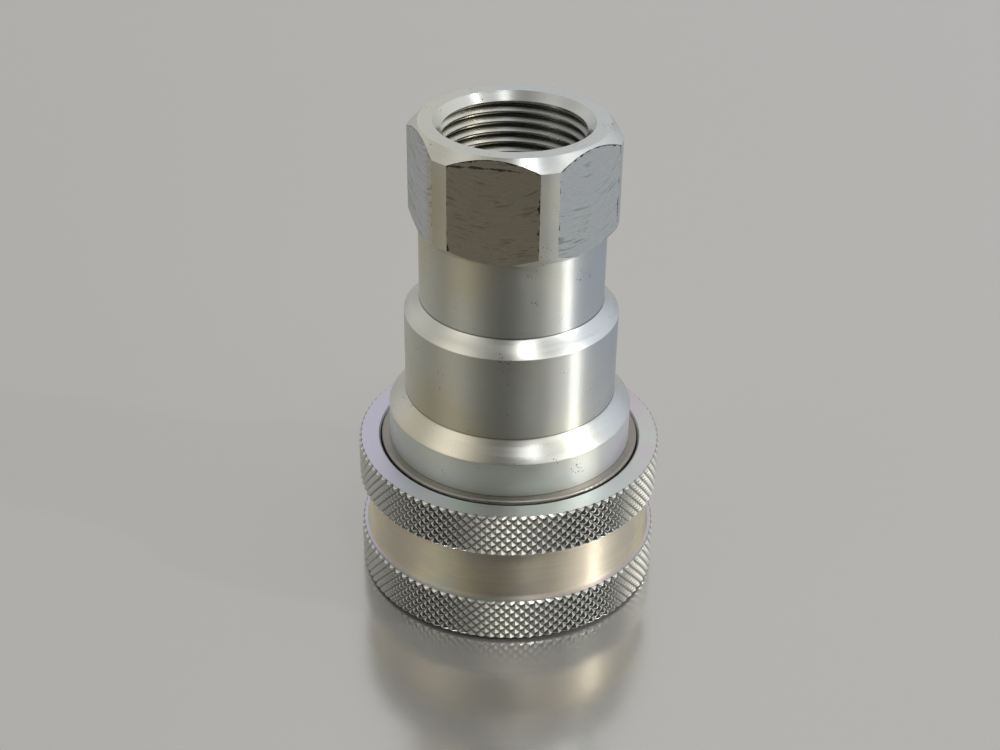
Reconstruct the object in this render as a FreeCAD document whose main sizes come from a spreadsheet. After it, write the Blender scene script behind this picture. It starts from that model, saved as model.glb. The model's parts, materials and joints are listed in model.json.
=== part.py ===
import FreeCAD, Part
import os
import re

import Sketcher

# Female quick coupler with a pipe-thread port, a ball lock and a poppet valve.
# The axis is +Z: the coupler stands on the nose that takes the male tip, its port looks up.
doc = FreeCAD.newDocument("female_quick_coupler")

# Driving dimensions in millimetres and degrees
driving = [
    ("port_thread_diameter", 23.7, "port bore at the crests of its pipe thread"),
    ("port_thread_length", 18.6, "threaded length of the port"),
    ("port_countersink", 1.35, "port's mouth opens out from the thread by this much"),
    ("hex_wall", 2.8, "metal between the port's mouth and a hexagon flat"),
    ("hex_corner_rise", 1.63, "turned corners of the hexagon stand above its flats"),
    ("hex_face_inset", 0.35, "edge of the top face lies inside the flats"),
    ("hex_chamfer_length", 1.98, "chamfer around the top of the hexagon"),
    ("hex_length", 16.5, "hexagon from the top face to its underside cone"),
    ("hex_cone_length", 1.8, "underside cone of the hexagon"),
    ("neck_inset", 0.2, "neck lies inside the hexagon's flats"),
    ("neck_length", 13.25, "neck under the hexagon"),
    ("barrel_step", 2.63, "barrel stands out from the neck"),
    ("barrel_cone_length", 2.46, "cone between neck and barrel"),
    ("barrel_length", 15.27, "barrel in the middle of the body"),
    ("shoulder_cone_length", 3.16, "cone between barrel and shoulder"),
    ("shoulder_length", 6.3, "shoulder behind the sleeve"),
    ("shoulder_gap", 1.75, "shoulder lies inside the sleeve's rear bore"),
    ("tool_round", 0.4, "round that the turning tool leaves at the foot of a cone"),
    ("edge_round", 0.15, "broken outer edges of barrel and shoulder"),
    ("nose_chamfer", 0.5, "edge break around the nose"),
    ("nose_overhang", 0.55, "nose stands out in front of the sleeve"),
    ("socket_diameter", 31.5, "socket bore around the male tip"),
    ("socket_mouth_relief", 0.2, "mouth of the socket is wider than the bore"),
    ("socket_mouth_chamfer", 0.9, "lead-in at the mouth of the socket"),
    ("socket_depth", 27.0, "socket from the nose to its floor"),
    ("ball_diameter", 6.35, "lock balls"),
    ("ball_count", 8, "lock balls around the nose"),
    ("ball_reach", 1.0, "ball centre lies outside the socket bore when locked"),
    ("ball_play", 0.55, "room between a locked ball and the sleeve's land"),
    ("ball_hole_clearance", 0.125, "radial room of a ball in its hole"),
    ("ball_seat_angle", 20.0, "half angle of the lip that keeps a ball in its hole"),
    ("ball_seat_gap", 0.05, "room between a ball and that lip"),
    ("ball_release_margin", 0.05, "released ball stands back behind the bore"),
    ("ball_web", 1.9, "metal between the front ring's groove and the ball holes"),
    ("ring_land", 2.5, "metal in front of the front ring's groove"),
    ("ring_thickness", 1.5, "front retaining ring"),
    ("ring_groove_depth", 1.0, "groove of the front retaining ring"),
    ("ring_gap_angle", 14.0, "opening of the split rings"),
    ("ring_play", 0.05, "room of a ring in its groove and of flat seats"),
    ("ring_side_clearance", 0.25, "room around a ring inside the sleeve"),
    ("stop_overlap", 0.75, "front ring catches the sleeve by this much"),
    ("sleeve_clearance", 0.2, "running room of the sleeve's land on the nose"),
    ("sleeve_travel", 6.5, "sleeve pulled back to release"),
    ("sleeve_wall", 3.72, "sleeve wall around the front ring"),
    ("sleeve_edge", 0.55, "chamfers of the knurled bands"),
    ("sleeve_bore_edge", 0.3, "edge breaks of the sleeve's bores"),
    ("land_overlap", 0.6, "sleeve's land reaches in front of the ball centres"),
    ("land_length", 2.4, "sleeve's land over the balls"),
    ("cam_clearance", 0.1, "room over a released ball at the end of the cam"),
    ("front_band_width", 8.05, "knurled band at the front of the sleeve"),
    ("rear_band_width", 8.0, "knurled band at the rear of the sleeve"),
    ("knurl_count", 64, "grooves of a band's knurl at each hand"),
    ("knurl_angle", 45.0, "lean of the knurl's grooves"),
    ("knurl_depth", 0.65, "grooves of the knurl at the middle of a band"),
    ("knurl_crest", 0.3, "flat tips left between the knurl's grooves"),
    ("waist_depth", 1.6, "plain waist lies inside the knurled bands"),
    ("waist_fillet", 0.8, "rounds at both ends of the waist"),
    ("sleeve_spring_wire", 1.9, "wire of the sleeve spring"),
    ("sleeve_spring_turns", 2, "open turns of the sleeve spring"),
    ("sleeve_spring_reserve", 0.2, "sleeve spring's room left at full travel"),
    ("spring_side_clearance", 0.46, "room beside the sleeve spring"),
    ("closed_turns", 2, "closed turns of a spring, one at each end"),
    ("coil_clearance", 0.08, "room between the closed turns of a spring"),
    ("seat_ring_thickness", 1.5, "ring that carries the sleeve spring"),
    ("seat_ring_stand", 0.4, "that ring stands out behind the sleeve"),
    ("seat_ring_round", 0.45, "rolled outer edge of that ring"),
    ("seal_section", 2.62, "socket seal's section"),
    ("seal_groove_depth", 2.2, "seal groove in the socket bore"),
    ("seal_web", 2.2, "metal between the ball holes and the seal groove"),
    ("backup_thickness", 1.3, "backup ring beside the seal"),
    ("backup_bore_gap", 0.15, "backup ring stands back from the bore"),
    ("seal_gap", 0.05, "room around a seal in its groove"),
    ("throat_length", 5.0, "throat between socket and valve seat"),
    ("seat_width", 1.8, "poppet head covers the throat by this much"),
    ("guide_bore_relief", 0.25, "guide bore lies inside the port's thread"),
    ("chamber_relief", 1.8, "valve chamber is wider than the guide bore"),
    ("head_clearance", 0.3, "poppet head passes the guide bore with this room"),
    ("head_gap", 0.15, "metal of the poppet stands off the valve seat"),
    ("head_length", 2.6, "cylindrical part of the poppet head"),
    ("poppet_seal_section", 1.78, "poppet seal's section"),
    ("poppet_seal_inset", 1.7, "poppet seal's centre line inside the head"),
    ("tip_flow_gap", 4.5, "flow room between the poppet's tip and the throat"),
    ("tip_length", 9.0, "poppet's tip in front of the throat's rear edge"),
    ("tip_round", 1.6, "round at the poppet's tip"),
    ("flare_length", 2.6, "flare from the poppet's tip to its head"),
    ("head_lip", 1.3, "poppet's lip in front of its seal"),
    ("stem_diameter", 8.0, "poppet stem in the guide"),
    ("stem_clearance", 0.08, "running room of the stem"),
    ("stem_reach", 1.2, "stem stands out behind the guide"),
    ("stem_chamfer", 0.6, "edge break at the stem's end"),
    ("valve_spring_wire", 1.6, "wire of the valve spring"),
    ("valve_spring_turns", 3, "open turns of the valve spring"),
    ("valve_spring_reserve", 2.0, "valve spring's room left at full travel"),
    ("poppet_travel", 6.0, "poppet pushed back by the male tip"),
    ("valve_spring_gap", 1.3, "room between the stem and the valve spring"),
    ("guide_clearance", 0.1, "guide's legs lie inside the guide bore"),
    ("guide_lead", 1.2, "guide bore starts in front of the guide"),
    ("guide_flange", 3.2, "thickness of the guide's legs"),
    ("guide_hub_rise", 3.0, "hub stands out behind the legs"),
    ("guide_hub_wall", 2.0, "hub around the stem"),
    ("guide_leg_width", 3.0, "legs of the guide"),
    ("guide_leg_count", 4, "legs of the guide around its hub"),
    ("guide_ring_thickness", 1.2, "retaining ring behind the guide"),
    ("guide_ring_groove_depth", 0.9, "groove of that ring"),
    ("guide_ring_width", 2.0, "radial width of that ring"),
    ("cut_margin", 2.0, "cutting outlines run past the metal"),
]

# Places and sizes that follow from the driving dimensions
following = [
    ("port_radius", "port_thread_diameter / 2"),
    ("mouth_radius", "port_radius + port_countersink"),
    ("flat_radius", "mouth_radius + hex_wall"),
    ("corner_radius", "flat_radius + hex_corner_rise"),
    ("hex_corner_reach", "flat_radius * 2 / sqrt(3)"),
    ("face_radius", "flat_radius - hex_face_inset"),
    ("neck_radius", "flat_radius - neck_inset"),
    ("barrel_radius", "neck_radius + barrel_step"),
    ("socket_radius", "socket_diameter / 2"),
    ("socket_mouth_radius", "socket_radius + socket_mouth_relief"),
    ("ball_radius", "ball_diameter / 2"),
    ("ball_hole_radius", "ball_radius + ball_hole_clearance"),
    ("ball_circle", "socket_radius + ball_reach"),
    ("ball_release", "ball_radius - ball_reach + ball_release_margin"),
    ("ball_lip_radius",
     "(ball_radius + ball_seat_gap) / cos(ball_seat_angle) - ball_reach * tan(ball_seat_angle)"),
    ("land_radius", "ball_circle + ball_radius + ball_play"),
    ("nose_radius", "land_radius - sleeve_clearance"),
    ("cam_radius", "ball_circle + ball_release + ball_radius + cam_clearance"),
    ("ring_groove_radius", "nose_radius - ring_groove_depth"),
    ("ring_inner", "ring_groove_radius + ring_play"),
    ("ring_outer", "cam_radius + stop_overlap"),
    ("counterbore_radius", "ring_outer + ring_side_clearance"),
    ("sleeve_radius", "counterbore_radius + sleeve_wall"),
    ("band_edge_radius", "sleeve_radius - sleeve_edge"),
    ("waist_radius", "sleeve_radius - waist_depth"),
    ("knurl_pitch", "2 * pi * sleeve_radius / knurl_count * cos(knurl_angle)"),
    ("knurl_half", "(knurl_pitch - knurl_crest) / 2"),
    ("knurl_lift", "knurl_depth * knurl_crest / knurl_pitch"),
    ("knurl_mouth", "knurl_half * (knurl_depth + knurl_lift) / knurl_depth"),
    ("spring_radius", "nose_radius + spring_side_clearance + sleeve_spring_wire / 2"),
    ("sleeve_bore", "spring_radius + sleeve_spring_wire / 2 + spring_side_clearance"),
    ("shoulder_radius", "sleeve_bore - shoulder_gap"),
    ("seat_ring_inner", "nose_radius + ring_side_clearance"),
    ("seat_ring_outer", "sleeve_bore - ring_side_clearance"),
    ("ring_groove_front", "ring_land"),
    ("ring_groove_rear", "ring_groove_front + ring_thickness + 2 * ring_play"),
    ("stop_face", "ring_groove_rear"),
    ("ball_height", "ring_groove_rear + ball_web + ball_hole_radius"),
    ("land_front", "ball_height - land_overlap"),
    ("land_rear", "land_front + land_length"),
    ("sleeve_spring_length",
     "(sleeve_spring_turns + closed_turns) * sleeve_spring_wire + sleeve_travel + sleeve_spring_reserve"),
    ("spring_front", "land_rear + ring_play"),
    ("spring_rear", "spring_front + sleeve_spring_length"),
    ("seat_ring_front", "spring_rear + ring_play"),
    ("seat_ring_rear", "seat_ring_front + seat_ring_thickness"),
    ("shoulder_front", "seat_ring_rear + ring_play"),
    ("sleeve_front", "nose_overhang"),
    ("sleeve_rear", "seat_ring_rear - seat_ring_stand"),
    ("waist_front", "sleeve_front + front_band_width"),
    ("waist_rear", "sleeve_rear - rear_band_width"),
    ("shoulder_rear", "shoulder_front + shoulder_length"),
    ("barrel_front", "shoulder_rear + shoulder_cone_length"),
    ("barrel_rear", "barrel_front + barrel_length"),
    ("neck_front", "barrel_rear + barrel_cone_length"),
    ("neck_rear", "neck_front + neck_length"),
    ("hex_front", "neck_rear + hex_cone_length"),
    ("overall_length", "hex_front + hex_length"),
    ("port_top", "overall_length - port_countersink"),
    ("port_floor", "port_top - port_thread_length"),
    ("seal_groove_front", "ball_height + ball_hole_radius + seal_web"),
    ("seal_groove_rear", "seal_groove_front + seal_section + backup_thickness + 3 * seal_gap"),
    ("seal_groove_radius", "socket_radius + seal_groove_depth"),
    ("seal_circle", "seal_groove_radius - seal_gap - seal_section / 2"),
    ("seal_height", "seal_groove_front + seal_gap + seal_section / 2"),
    ("backup_front", "seal_groove_rear - seal_gap - backup_thickness"),
    ("guide_bore", "port_radius - guide_bore_relief"),
    ("chamber_radius", "guide_bore + chamber_relief"),
    ("head_radius", "guide_bore - head_clearance"),
    ("throat_radius", "head_radius - seat_width"),
    ("throat_rear", "socket_depth + throat_length"),
    ("seat_rear", "throat_rear + chamber_radius - throat_radius"),
    ("head_offset", "throat_rear - throat_radius + head_gap * sqrt(2)"),
    ("head_edge", "head_radius + head_offset"),
    ("head_rear", "head_edge + head_length"),
    ("poppet_seal_radius", "poppet_seal_section / 2"),
    ("poppet_seal_circle", "head_radius - poppet_seal_inset"),
    ("poppet_seal_height",
     "poppet_seal_circle + throat_rear - throat_radius + (poppet_seal_radius + seal_gap) * sqrt(2)"),
    ("seal_pocket", "poppet_seal_radius + seal_gap"),
    ("pocket_front", "poppet_seal_height - seal_pocket"),
    ("pocket_rear", "poppet_seal_height + seal_pocket"),
    ("pocket_inner", "poppet_seal_circle - seal_pocket"),
    ("pocket_outer", "poppet_seal_circle + seal_pocket"),
    ("lip_front", "pocket_front - head_lip"),
    ("lip_radius", "lip_front - head_offset"),
    ("tip_radius", "throat_radius - tip_flow_gap"),
    ("tip_front", "throat_rear - tip_length"),
    ("flare_front", "lip_front - flare_length"),
    ("stem_radius", "stem_diameter / 2"),
    ("valve_spring_radius", "stem_radius + valve_spring_gap + valve_spring_wire / 2"),
    ("valve_spring_length",
     "(valve_spring_turns + closed_turns) * valve_spring_wire + poppet_travel + valve_spring_reserve"),
    ("valve_spring_front", "head_rear + ring_play"),
    ("guide_front", "valve_spring_front + valve_spring_length + ring_play"),
    ("guide_rear", "guide_front + guide_flange"),
    ("hub_rear", "guide_rear + guide_hub_rise"),
    ("hub_bore", "stem_radius + stem_clearance"),
    ("hub_radius", "hub_bore + guide_hub_wall"),
    ("spring_cup_radius", "valve_spring_radius + valve_spring_wire / 2 + spring_side_clearance"),
    ("leg_radius", "guide_bore - guide_clearance"),
    ("leg_half", "guide_leg_width / 2"),
    ("leg_root", "(hub_bore + spring_cup_radius) / 2"),
    ("leg_reach", "leg_radius + cut_margin"),
    ("stem_rear", "hub_rear + stem_reach"),
    ("guide_groove_front", "guide_rear"),
    ("guide_groove_rear", "guide_groove_front + guide_ring_thickness + 2 * ring_play"),
    ("guide_groove_radius", "guide_bore + guide_ring_groove_depth"),
    ("guide_ring_outer", "guide_groove_radius - ring_play"),
    ("guide_ring_inner", "guide_ring_outer - guide_ring_width"),
    ("chamber_rear", "guide_front - guide_lead - chamber_relief"),
    ("guide_bore_front", "guide_front - guide_lead"),
]

sheet_of = {}
same_place = 1e-6


def bound(formula):
    return re.sub(r"[a-z_]+", lambda word: sheet_of.get(word[0], "") + word[0], formula)


def fill_sheets():
    dims = doc.addObject("Spreadsheet::Sheet", "dims")
    for row, (alias, number, note) in enumerate(driving, start=1):
        dims.set(f"A{row}", note)
        dims.set(f"B{row}", str(number))
        dims.setAlias(f"B{row}", alias)
        sheet_of[alias] = "dims."
    places = doc.addObject("Spreadsheet::Sheet", "places")
    for row, (alias, formula) in enumerate(following, start=1):
        places.set(f"B{row}", "=" + bound(formula).replace("places.", ""))
        places.setAlias(f"B{row}", alias)
        sheet_of[alias] = "places."
    doc.recompute()
    return dims


dims = fill_sheets()


def size(formula):
    return float(dims.evalExpression(bound(formula)))


def bind(thing, **formulas):
    for property_name, formula in formulas.items():
        thing.setExpression(property_name.replace("__", "."), bound(formula))


def new_body(name):
    body = doc.addObject("PartDesign::Body", name)
    body.Label = name
    return body


def origin_feature(body, role):
    return next(item for item in body.Origin.OriginFeatures if item.Role == role)


def new_sketch(body, name, plane="XZ_Plane", offset=None):
    sketch = body.newObject("Sketcher::SketchObject", name)
    sketch.AttachmentSupport = [(origin_feature(body, plane), "")]
    sketch.MapMode = "FlatFace"
    if offset:
        axis, formula = offset
        sketch.setExpression(f"AttachmentOffset.Base.{axis}", bound(formula))
    doc.recompute()
    return sketch


def hold_point(sketch, edge, across, along):
    for kind, axis, formula in (("DistanceX", -2, across), ("DistanceY", -1, along)):
        if formula == "0":
            sketch.addConstraint(Sketcher.Constraint("PointOnObject", edge, 1, axis))
        else:
            number = sketch.addConstraint(Sketcher.Constraint(kind, -1, 1, edge, 1, size(formula)))
            sketch.setExpression(f"Constraints[{number}]", bound(formula))


def draw_outline(sketch, points):
    corners = [FreeCAD.Vector(size(across), size(along), 0) for across, along in points]
    count = len(corners)
    first = sketch.GeometryCount
    for index in range(count):
        sketch.addGeometry(Part.LineSegment(corners[index], corners[(index + 1) % count]))
    for index in range(count):
        following_edge = first + (index + 1) % count
        sketch.addConstraint(Sketcher.Constraint("Coincident", first + index, 2, following_edge, 1))
    for index, (across, along) in enumerate(points):
        hold_point(sketch, first + index, across, along)


def draw_circle(sketch, radius, across="0", along="0"):
    centre = FreeCAD.Vector(size(across), size(along), 0)
    circle = sketch.addGeometry(Part.Circle(centre, FreeCAD.Vector(0, 0, 1), size(radius)))
    number = sketch.addConstraint(Sketcher.Constraint("Radius", circle, size(radius)))
    sketch.setExpression(f"Constraints[{number}]", bound(radius))
    if across == along == "0":
        sketch.addConstraint(Sketcher.Constraint("Coincident", circle, 3, -1, 1))
        return
    for kind, axis, formula in (("DistanceX", -2, across), ("DistanceY", -1, along)):
        if formula == "0":
            sketch.addConstraint(Sketcher.Constraint("PointOnObject", circle, 3, axis))
        else:
            number = sketch.addConstraint(Sketcher.Constraint(kind, -1, 1, circle, 3, size(formula)))
            sketch.setExpression(f"Constraints[{number}]", bound(formula))


def turned(body, name, points):
    sketch = new_sketch(body, name + "_profile")
    draw_outline(sketch, points)
    turning = body.newObject("PartDesign::Revolution", name)
    turning.Profile = sketch
    turning.ReferenceAxis = (sketch, ["V_Axis"])
    turning.Angle = 360
    doc.recompute()
    return turning


def repeated(body, name, feature, count, refine=True):
    pattern = body.newObject("PartDesign::PolarPattern", name)
    pattern.Originals = [feature]
    pattern.Refine = refine
    pattern.Axis = (origin_feature(body, "Z_Axis"), [""])
    pattern.Angle = 360
    bind(pattern, Occurrences=count)
    body.Tip = pattern
    doc.recompute()
    return pattern


def ring_edges(shape, radius, height):
    names = []
    for number, edge in enumerate(shape.Edges, start=1):
        curve = edge.Curve
        if not isinstance(curve, Part.Circle):
            continue
        radius_off = abs(curve.Radius - size(radius))
        height_off = abs(curve.Center.z - size(height))
        if max(radius_off, height_off) < same_place:
            names.append(f"Edge{number}")
    return names


def rounded(body, name, base, edges, radius):
    fillet = body.newObject("PartDesign::Fillet", name)
    fillet.Base = (base, edges)
    bind(fillet, Radius=radius)
    doc.recompute()
    return fillet


def split_ring(name, inner, outer, front, rear):
    # The opening of the ring looks to the back of the coupler.
    body = new_body(name)
    turning = turned(body, name + "_turning", [(inner, front), (outer, front), (outer, rear), (inner, rear)])
    turning.Midplane = True
    bind(turning, Angle="360 - ring_gap_angle")
    body.Placement.Rotation = FreeCAD.Rotation(FreeCAD.Vector(0, 0, 1), -90)
    return body


def coil_spring(name, radius, wire, front, length, turns):
    # A closed turn at each end, ground flat, with open turns between them.
    body = new_body(name)
    closed_pitch = f"({wire} + coil_clearance)"
    closed_height = f"({closed_pitch} * closed_turns / 2)"
    open_height = f"({length} - 2 * {closed_height})"
    stages = [
        ("front_turn", front, closed_height, "closed_turns / 2"),
        ("open_turns", f"{front} + {closed_height}", open_height, turns),
        ("rear_turn", f"{front} + {closed_height} + {open_height}", closed_height, "closed_turns / 2"),
    ]
    for stage, start, height, count in stages:
        section = new_sketch(body, f"{name}_{stage}_section")
        draw_circle(section, f"{wire} / 2", radius, start)
        winding = body.newObject("PartDesign::AdditiveHelix", f"{name}_{stage}")
        winding.Profile = section
        winding.ReferenceAxis = (section, ["V_Axis"])
        winding.Mode = "height-turns-angle"
        winding.Angle = 0
        bind(winding, Height=height, Turns=count)
        doc.recompute()
    for end, height, upward in (("front", front, False), ("rear", f"{front} + {length}", True)):
        disc = new_sketch(body, f"{name}_{end}_disc", "XY_Plane", ("z", height))
        draw_circle(disc, f"{radius} + {wire} + cut_margin")
        grinding = body.newObject("PartDesign::Pocket", f"{name}_{end}_grinding")
        grinding.Profile = disc
        grinding.Reversed = upward
        bind(grinding, Length=f"{wire} + cut_margin")
        doc.recompute()
    return body


def ring_seal(name, circle, section, height):
    seal = doc.addObject("Part::Torus", name)
    seal.Label = name
    bind(seal, Radius1=circle, Radius2=section + " / 2", Placement__Base__z=height)
    return seal


def coupler_body():
    body = new_body("coupler_body")
    turned(body, "body_turning", [
        ("socket_mouth_radius + socket_mouth_chamfer", "0"),
        ("nose_radius - nose_chamfer", "0"),
        ("nose_radius", "nose_chamfer"),
        ("nose_radius", "ring_groove_front"),
        ("ring_groove_radius", "ring_groove_front"),
        ("ring_groove_radius", "ring_groove_rear"),
        ("nose_radius", "ring_groove_rear"),
        ("nose_radius", "shoulder_front"),
        ("shoulder_radius", "shoulder_front"),
        ("shoulder_radius", "shoulder_rear"),
        ("barrel_radius", "barrel_front"),
        ("barrel_radius", "barrel_rear"),
        ("neck_radius", "neck_front"),
        ("neck_radius", "neck_rear"),
        ("corner_radius", "hex_front"),
        ("corner_radius", "overall_length - hex_chamfer_length"),
        ("face_radius", "overall_length"),
        ("mouth_radius", "overall_length"),
        ("port_radius", "port_top"),
        ("port_radius", "port_floor"),
        ("guide_bore", "port_floor - guide_bore_relief"),
        ("guide_bore", "guide_groove_rear"),
        ("guide_groove_radius", "guide_groove_rear"),
        ("guide_groove_radius", "guide_groove_front"),
        ("guide_bore", "guide_groove_front"),
        ("guide_bore", "guide_bore_front"),
        ("chamber_radius", "chamber_rear"),
        ("chamber_radius", "seat_rear"),
        ("throat_radius", "throat_rear"),
        ("throat_radius", "socket_depth"),
        ("socket_radius", "socket_depth"),
        ("socket_radius", "seal_groove_rear"),
        ("seal_groove_radius", "seal_groove_rear"),
        ("seal_groove_radius", "seal_groove_front"),
        ("socket_radius", "seal_groove_front"),
        ("socket_radius", "ring_groove_rear + socket_mouth_relief"),
        ("socket_mouth_radius", "ring_groove_rear"),
        ("socket_mouth_radius", "socket_mouth_chamfer"),
    ])

    # Six flats are milled on the turned head, a flat looks to the front.
    flats = new_sketch(body, "flats_outline", "XY_Plane", ("z", "overall_length"))
    draw_circle(flats, "corner_radius + cut_margin")
    draw_outline(flats, [
        ("hex_corner_reach", "0"),
        ("hex_corner_reach / 2", "flat_radius"),
        ("-hex_corner_reach / 2", "flat_radius"),
        ("-hex_corner_reach", "0"),
        ("-hex_corner_reach / 2", "-flat_radius"),
        ("hex_corner_reach / 2", "-flat_radius"),
    ])
    milling = body.newObject("PartDesign::Pocket", "hex_flats")
    milling.Profile = flats
    bind(milling, Length="hex_length + hex_cone_length")
    doc.recompute()

    # Each ball hole is drilled from outside and ends in a narrower lip at the socket.
    drill = new_sketch(body, "ball_hole_profile", "XZ_Plane", ("y", "ball_height"))
    draw_outline(drill, [
        ("socket_radius - ball_reach", "0"),
        ("socket_radius - ball_reach", "ball_lip_radius - ball_reach * tan(ball_seat_angle)"),
        ("socket_radius + (ball_hole_radius - ball_lip_radius) / tan(ball_seat_angle)", "ball_hole_radius"),
        ("nose_radius + cut_margin", "ball_hole_radius"),
        ("nose_radius + cut_margin", "0"),
    ])
    hole = body.newObject("PartDesign::Groove", "ball_hole")
    hole.Profile = drill
    hole.ReferenceAxis = (drill, ["H_Axis"])
    hole.Angle = 360
    doc.recompute()
    holes = repeated(body, "ball_holes", hole, "ball_count")

    feet = ring_edges(holes.Shape, "barrel_radius", "barrel_front")
    feet += ring_edges(holes.Shape, "neck_radius", "neck_front")
    foot_rounds = rounded(body, "cone_foot_rounds", holes, feet, "tool_round")
    edges = ring_edges(foot_rounds.Shape, "barrel_radius", "barrel_rear")
    edges += ring_edges(foot_rounds.Shape, "shoulder_radius", "shoulder_rear")
    rounded(body, "turned_edge_rounds", foot_rounds, edges, "edge_round")
    return body


def knurled(body, name, front, rear):
    # Straight grooves lean to one hand and then to the other, and leave pointed teeth between them.
    for hand, lean in (("right", 1), ("left", -1)):
        section = new_sketch(body, f"{name}_{hand}_section", "XY_Plane", ("z", f"({front} + {rear}) / 2"))
        section.AttachmentOffset.Rotation = FreeCAD.Rotation(FreeCAD.Vector(lean, 0, 0), size("knurl_angle"))
        section.setExpression("AttachmentOffset.Rotation.Angle", bound("knurl_angle"))
        draw_outline(section, [
            ("sleeve_radius - knurl_depth", "0"),
            ("sleeve_radius + knurl_lift", "knurl_mouth"),
            ("sleeve_radius + knurl_lift", "-knurl_mouth"),
        ])
        groove = body.newObject("PartDesign::Pocket", f"{name}_{hand}_groove")
        groove.Profile = section
        groove.Midplane = True
        groove.Refine = False
        bind(groove, Length=f"({rear} - {front}) / cos(knurl_angle) + 2 * cut_margin")
        doc.recompute()
        repeated(body, f"{name}_{hand}_grooves", groove, "knurl_count", refine=False)


def locking_sleeve():
    body = new_body("locking_sleeve")
    turning = turned(body, "sleeve_turning", [
        ("counterbore_radius + sleeve_bore_edge", "sleeve_front"),
        ("band_edge_radius", "sleeve_front"),
        ("sleeve_radius", "sleeve_front + sleeve_edge"),
        ("sleeve_radius", "waist_front - sleeve_edge"),
        ("band_edge_radius", "waist_front"),
        ("waist_radius", "waist_front"),
        ("waist_radius", "waist_rear"),
        ("band_edge_radius", "waist_rear"),
        ("sleeve_radius", "waist_rear + sleeve_edge"),
        ("sleeve_radius", "sleeve_rear - sleeve_edge"),
        ("band_edge_radius", "sleeve_rear"),
        ("sleeve_bore + sleeve_bore_edge", "sleeve_rear"),
        ("sleeve_bore", "sleeve_rear - sleeve_bore_edge"),
        ("sleeve_bore", "land_rear"),
        ("land_radius", "land_rear"),
        ("land_radius", "land_front"),
        ("cam_radius", "stop_face"),
        ("counterbore_radius", "stop_face"),
        ("counterbore_radius", "sleeve_front + sleeve_bore_edge"),
    ])
    ends = ring_edges(turning.Shape, "waist_radius", "waist_front")
    ends += ring_edges(turning.Shape, "waist_radius", "waist_rear")
    rounded(body, "waist_rounds", turning, ends, "waist_fillet")
    knurled(body, "front_knurl", "sleeve_front", "waist_front")
    knurled(body, "rear_knurl", "waist_rear", "sleeve_rear")
    return body


def spring_seat_ring():
    body = new_body("spring_seat_ring")
    turning = turned(body, "seat_ring_turning", [
        ("seat_ring_inner", "seat_ring_front"),
        ("seat_ring_outer", "seat_ring_front"),
        ("seat_ring_outer", "seat_ring_rear"),
        ("seat_ring_inner", "seat_ring_rear"),
    ])
    edges = ring_edges(turning.Shape, "seat_ring_outer", "seat_ring_rear")
    rounded(body, "seat_ring_rolled_edge", turning, edges, "seat_ring_round")
    return body


def lock_balls():
    balls = []
    for number in range(int(size("ball_count"))):
        turn = f"(360 * {number} / ball_count)"
        ball = doc.addObject("Part::Sphere", f"lock_ball_{number + 1}")
        ball.Label = f"lock_ball_{number + 1}"
        bind(
            ball,
            Radius="ball_radius",
            Placement__Base__x=f"ball_circle * cos({turn})",
            Placement__Base__y=f"ball_circle * sin({turn})",
            Placement__Base__z="ball_height",
        )
        balls.append(ball)
    return balls


def socket_backup_ring():
    body = new_body("socket_backup_ring")
    inner = "socket_radius + backup_bore_gap"
    outer = "seal_groove_radius - seal_gap"
    rear = "backup_front + backup_thickness"
    turned(body, "backup_turning", [
        (inner, "backup_front"), (outer, "backup_front"), (outer, rear), (inner, rear)])
    return body


def valve_poppet():
    # The head carries its seal in a pocket that opens onto the sealing cone.
    body = new_body("valve_poppet")
    turning = turned(body, "poppet_turning", [
        ("0", "tip_front"),
        ("tip_radius", "tip_front"),
        ("tip_radius", "flare_front"),
        ("lip_radius", "lip_front"),
        ("pocket_front - head_offset", "pocket_front"),
        ("pocket_inner", "pocket_front"),
        ("pocket_inner", "pocket_rear"),
        ("pocket_outer", "pocket_rear"),
        ("pocket_outer", "pocket_outer + head_offset"),
        ("head_radius", "head_edge"),
        ("head_radius", "head_rear"),
        ("stem_radius", "head_rear"),
        ("stem_radius", "stem_rear - stem_chamfer"),
        ("stem_radius - stem_chamfer", "stem_rear"),
        ("0", "stem_rear"),
    ])
    edges = ring_edges(turning.Shape, "tip_radius", "tip_front")
    rounded(body, "tip_rounding", turning, edges, "tip_round")
    return body


def valve_guide():
    # A round hub with straight legs, whose ends are turned to the guide bore.
    body = new_body("valve_guide")
    turned(body, "guide_hub", [
        ("hub_bore", "guide_front"),
        ("spring_cup_radius", "guide_front"),
        ("spring_cup_radius", "guide_rear"),
        ("hub_radius", "guide_rear"),
        ("hub_radius", "hub_rear"),
        ("hub_bore", "hub_rear"),
    ])
    outline = new_sketch(body, "guide_leg_outline", "XY_Plane", ("z", "guide_front"))
    draw_outline(outline, [
        ("leg_root", "-leg_half"),
        ("leg_reach", "-leg_half"),
        ("leg_reach", "leg_half"),
        ("leg_root", "leg_half"),
    ])
    leg = body.newObject("PartDesign::Pad", "guide_leg")
    leg.Profile = outline
    bind(leg, Length="guide_flange")
    doc.recompute()
    repeated(body, "guide_legs", leg, "guide_leg_count")
    ends = new_sketch(body, "guide_leg_ends")
    draw_outline(ends, [
        ("leg_radius", "guide_front - cut_margin"),
        ("leg_reach + cut_margin", "guide_front - cut_margin"),
        ("leg_reach + cut_margin", "guide_rear + cut_margin"),
        ("leg_radius", "guide_rear + cut_margin"),
    ])
    end_turning = body.newObject("PartDesign::Groove", "guide_leg_turning")
    end_turning.Profile = ends
    end_turning.ReferenceAxis = (ends, ["V_Axis"])
    end_turning.Angle = 360
    doc.recompute()
    return body


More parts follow.
